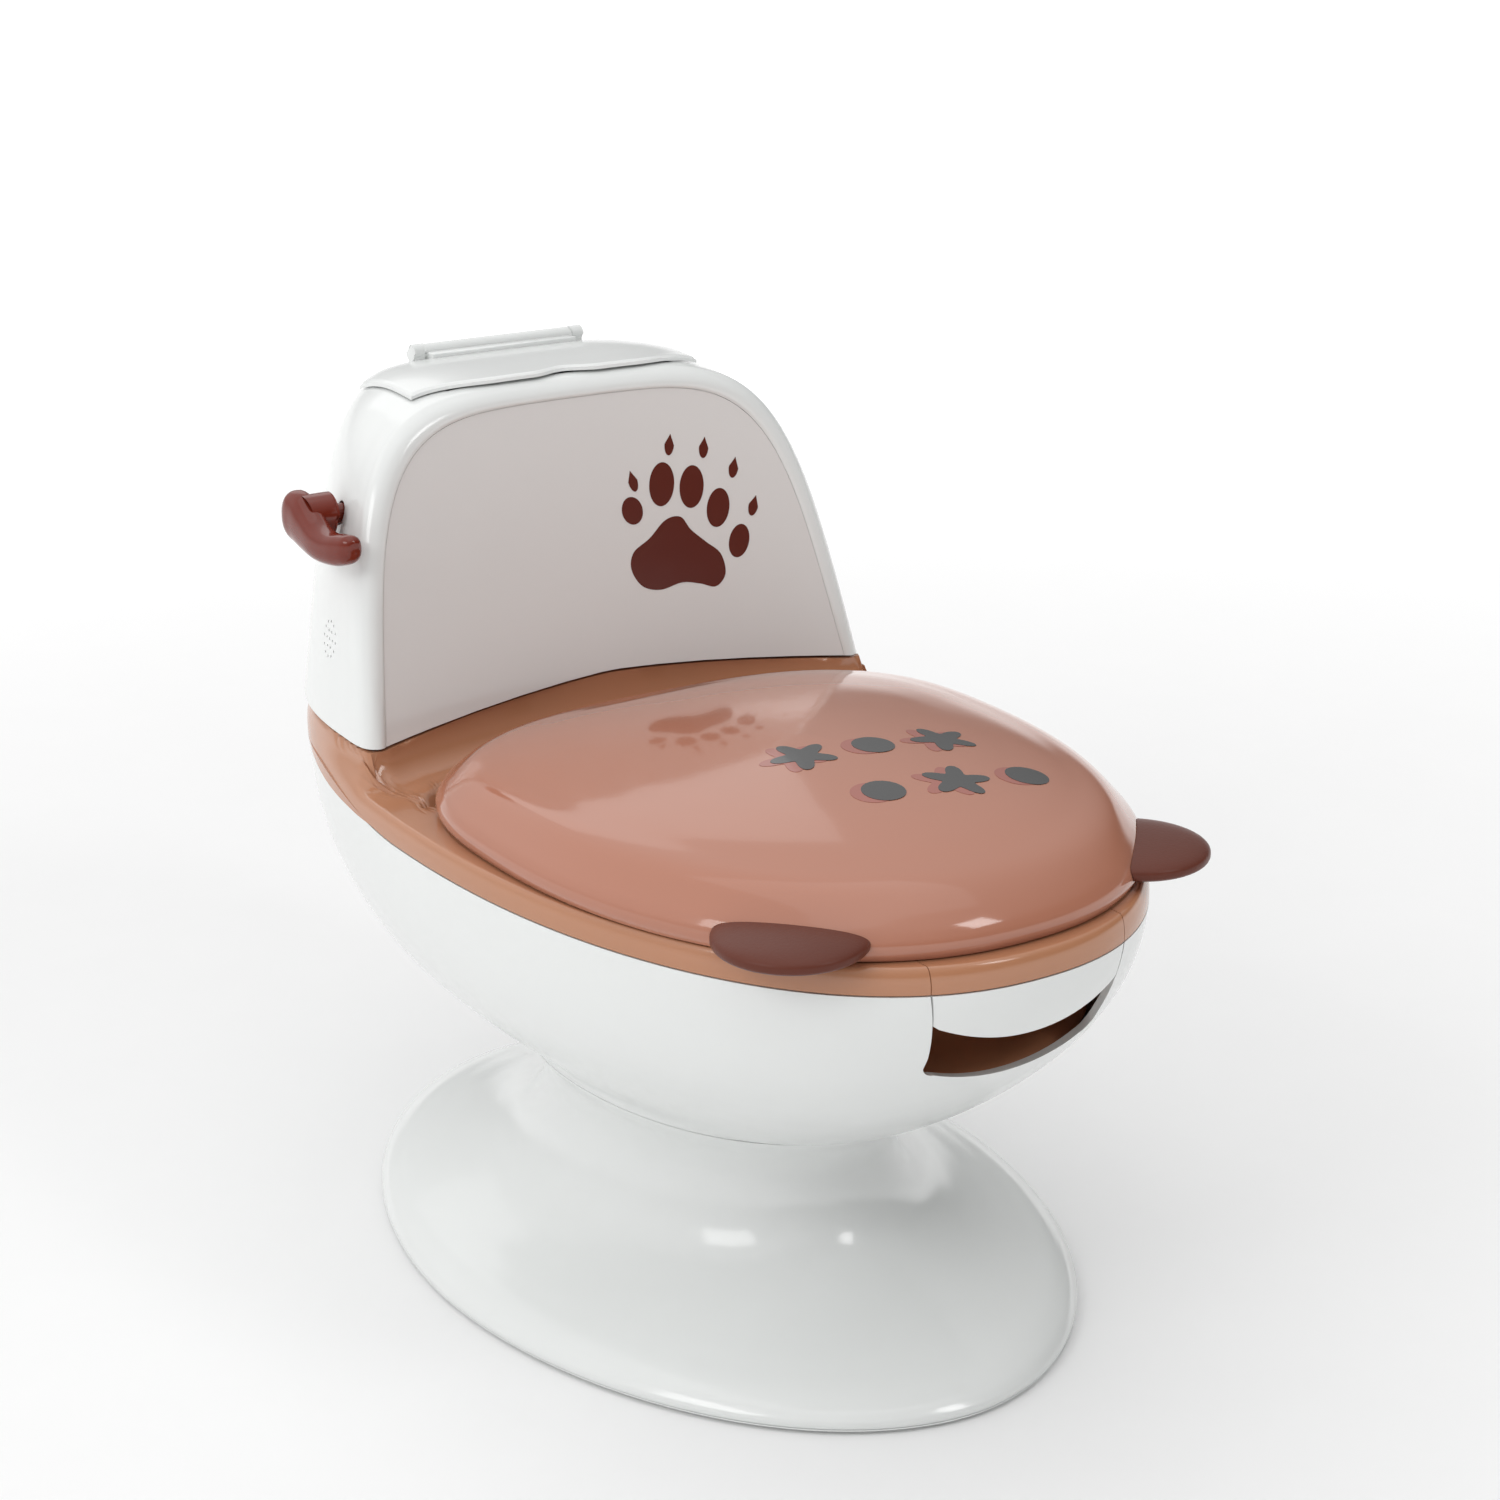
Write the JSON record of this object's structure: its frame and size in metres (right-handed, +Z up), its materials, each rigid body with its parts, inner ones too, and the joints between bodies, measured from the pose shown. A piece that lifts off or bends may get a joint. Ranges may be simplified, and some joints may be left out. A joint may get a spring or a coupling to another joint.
{
  "type": "potty training chair",
  "caption": "Toddler potty chair shaped like a small toilet, with a hinged lid, lift-out pot, storage tank and flush lever.",
  "frame": {"origin": "on the floor, under the middle of the chair's overall length and width", "axes": "+Z up, -Y towards the child's knees at the front of the bowl, the flush lever on the -X side"},
  "size_m": [0.247, 0.4, 0.3284],
  "materials": {
    "white_plastic": "cool white polypropylene, polished mould, high gloss",
    "tan_plastic": "camel tan plastic, glossy",
    "lid_plastic": "pinkish brown plastic, high gloss",
    "brown_plastic": "dark reddish brown, satin",
    "brown_gloss": "dark reddish brown, high gloss",
    "foot_rubber": "soft grey rubber",
    "screw_steel": "zinc plated steel",
    "black_plastic": "black moulded plastic",
    "battery_wrap": "plain printed battery sleeve with no text",
    "board_green": "green solder mask"
  },
  "bodies": {
    "root": {"foot_pad_1": "foot_rubber", "foot_pad_2": "foot_rubber", "foot_pad_3": "foot_rubber", "foot_pad_4": "foot_rubber", "foot_pad_5": "foot_rubber", "foot_pad_6": "foot_rubber", "base_plate": "white_plastic", "pedestal": "white_plastic", "bowl_shell": "white_plastic", "neck_screw_1": "screw_steel", "neck_screw_2": "screw_steel", "neck_screw_3": "screw_steel", "neck_screw_4": "screw_steel", "seat_deck": "tan_plastic", "pot_liner": "tan_plastic", "pot": "tan_plastic", "pot_handle": "tan_plastic", "pot_handle_skirt": "white_plastic", "hinge_post_left": "tan_plastic", "hinge_post_right": "tan_plastic", "lid_hinge_pin_left": "screw_steel", "lid_hinge_pin_right": "screw_steel", "tank_shell": "white_plastic", "tank_face_panel": "white_plastic", "tank_lid_pin": "screw_steel", "storage_bin": "white_plastic", "battery_door": "white_plastic", "battery_door_screw": "screw_steel", "battery_holder": "black_plastic", "battery_1": "battery_wrap", "battery_2": "battery_wrap", "sound_module": "white_plastic", "speaker": "black_plastic", "circuit_board": "board_green", "lever_switch": "black_plastic", "lever_spring": "screw_steel"},
    "lid": {"lid_shell": "lid_plastic", "lid_liner": "lid_plastic", "ear_left": "brown_plastic", "ear_right": "brown_plastic", "lid_bumper_1": "foot_rubber", "lid_bumper_2": "foot_rubber", "lid_bumper_3": "foot_rubber", "lid_bumper_4": "foot_rubber"},
    "tank_lid": {"tank_lid": "white_plastic"},
    "lever": {"flush_lever": "brown_gloss", "lever_shaft": "brown_gloss", "lever_cam": "brown_gloss"},
    "plunger": {"switch_plunger": "black_plastic"}
  },
  "joints": [
    {"name": "lid_hinge", "type": "hinge", "parent": "root", "child": "lid", "pos_m": [0, 0.05, 0.195], "axis": [-1, 0, 0], "range_deg": [0, 95]},
    {"name": "tank_lid_hinge", "type": "hinge", "parent": "root", "child": "tank_lid", "pos_m": [0, 0.163, 0.325], "axis": [-1, 0, 0], "range_deg": [0, 100]},
    {"name": "flush_lever", "type": "hinge", "parent": "root", "child": "lever", "pos_m": [-0.1, 0.112, 0.2785], "axis": [1, 0, 0], "range_deg": [0, 25], "stiffness_Nm_per_rad": 0.08, "springref_deg": -20.05},
    {"name": "switch_press", "type": "slide", "parent": "root", "child": "plunger", "axis": [0, 0, -1], "range_m": [0, 0.0034]}
  ],
  "couplings": [
    {"joint": "switch_press", "follows": "flush_lever", "m_per_rad": 0.0075}
  ]
}
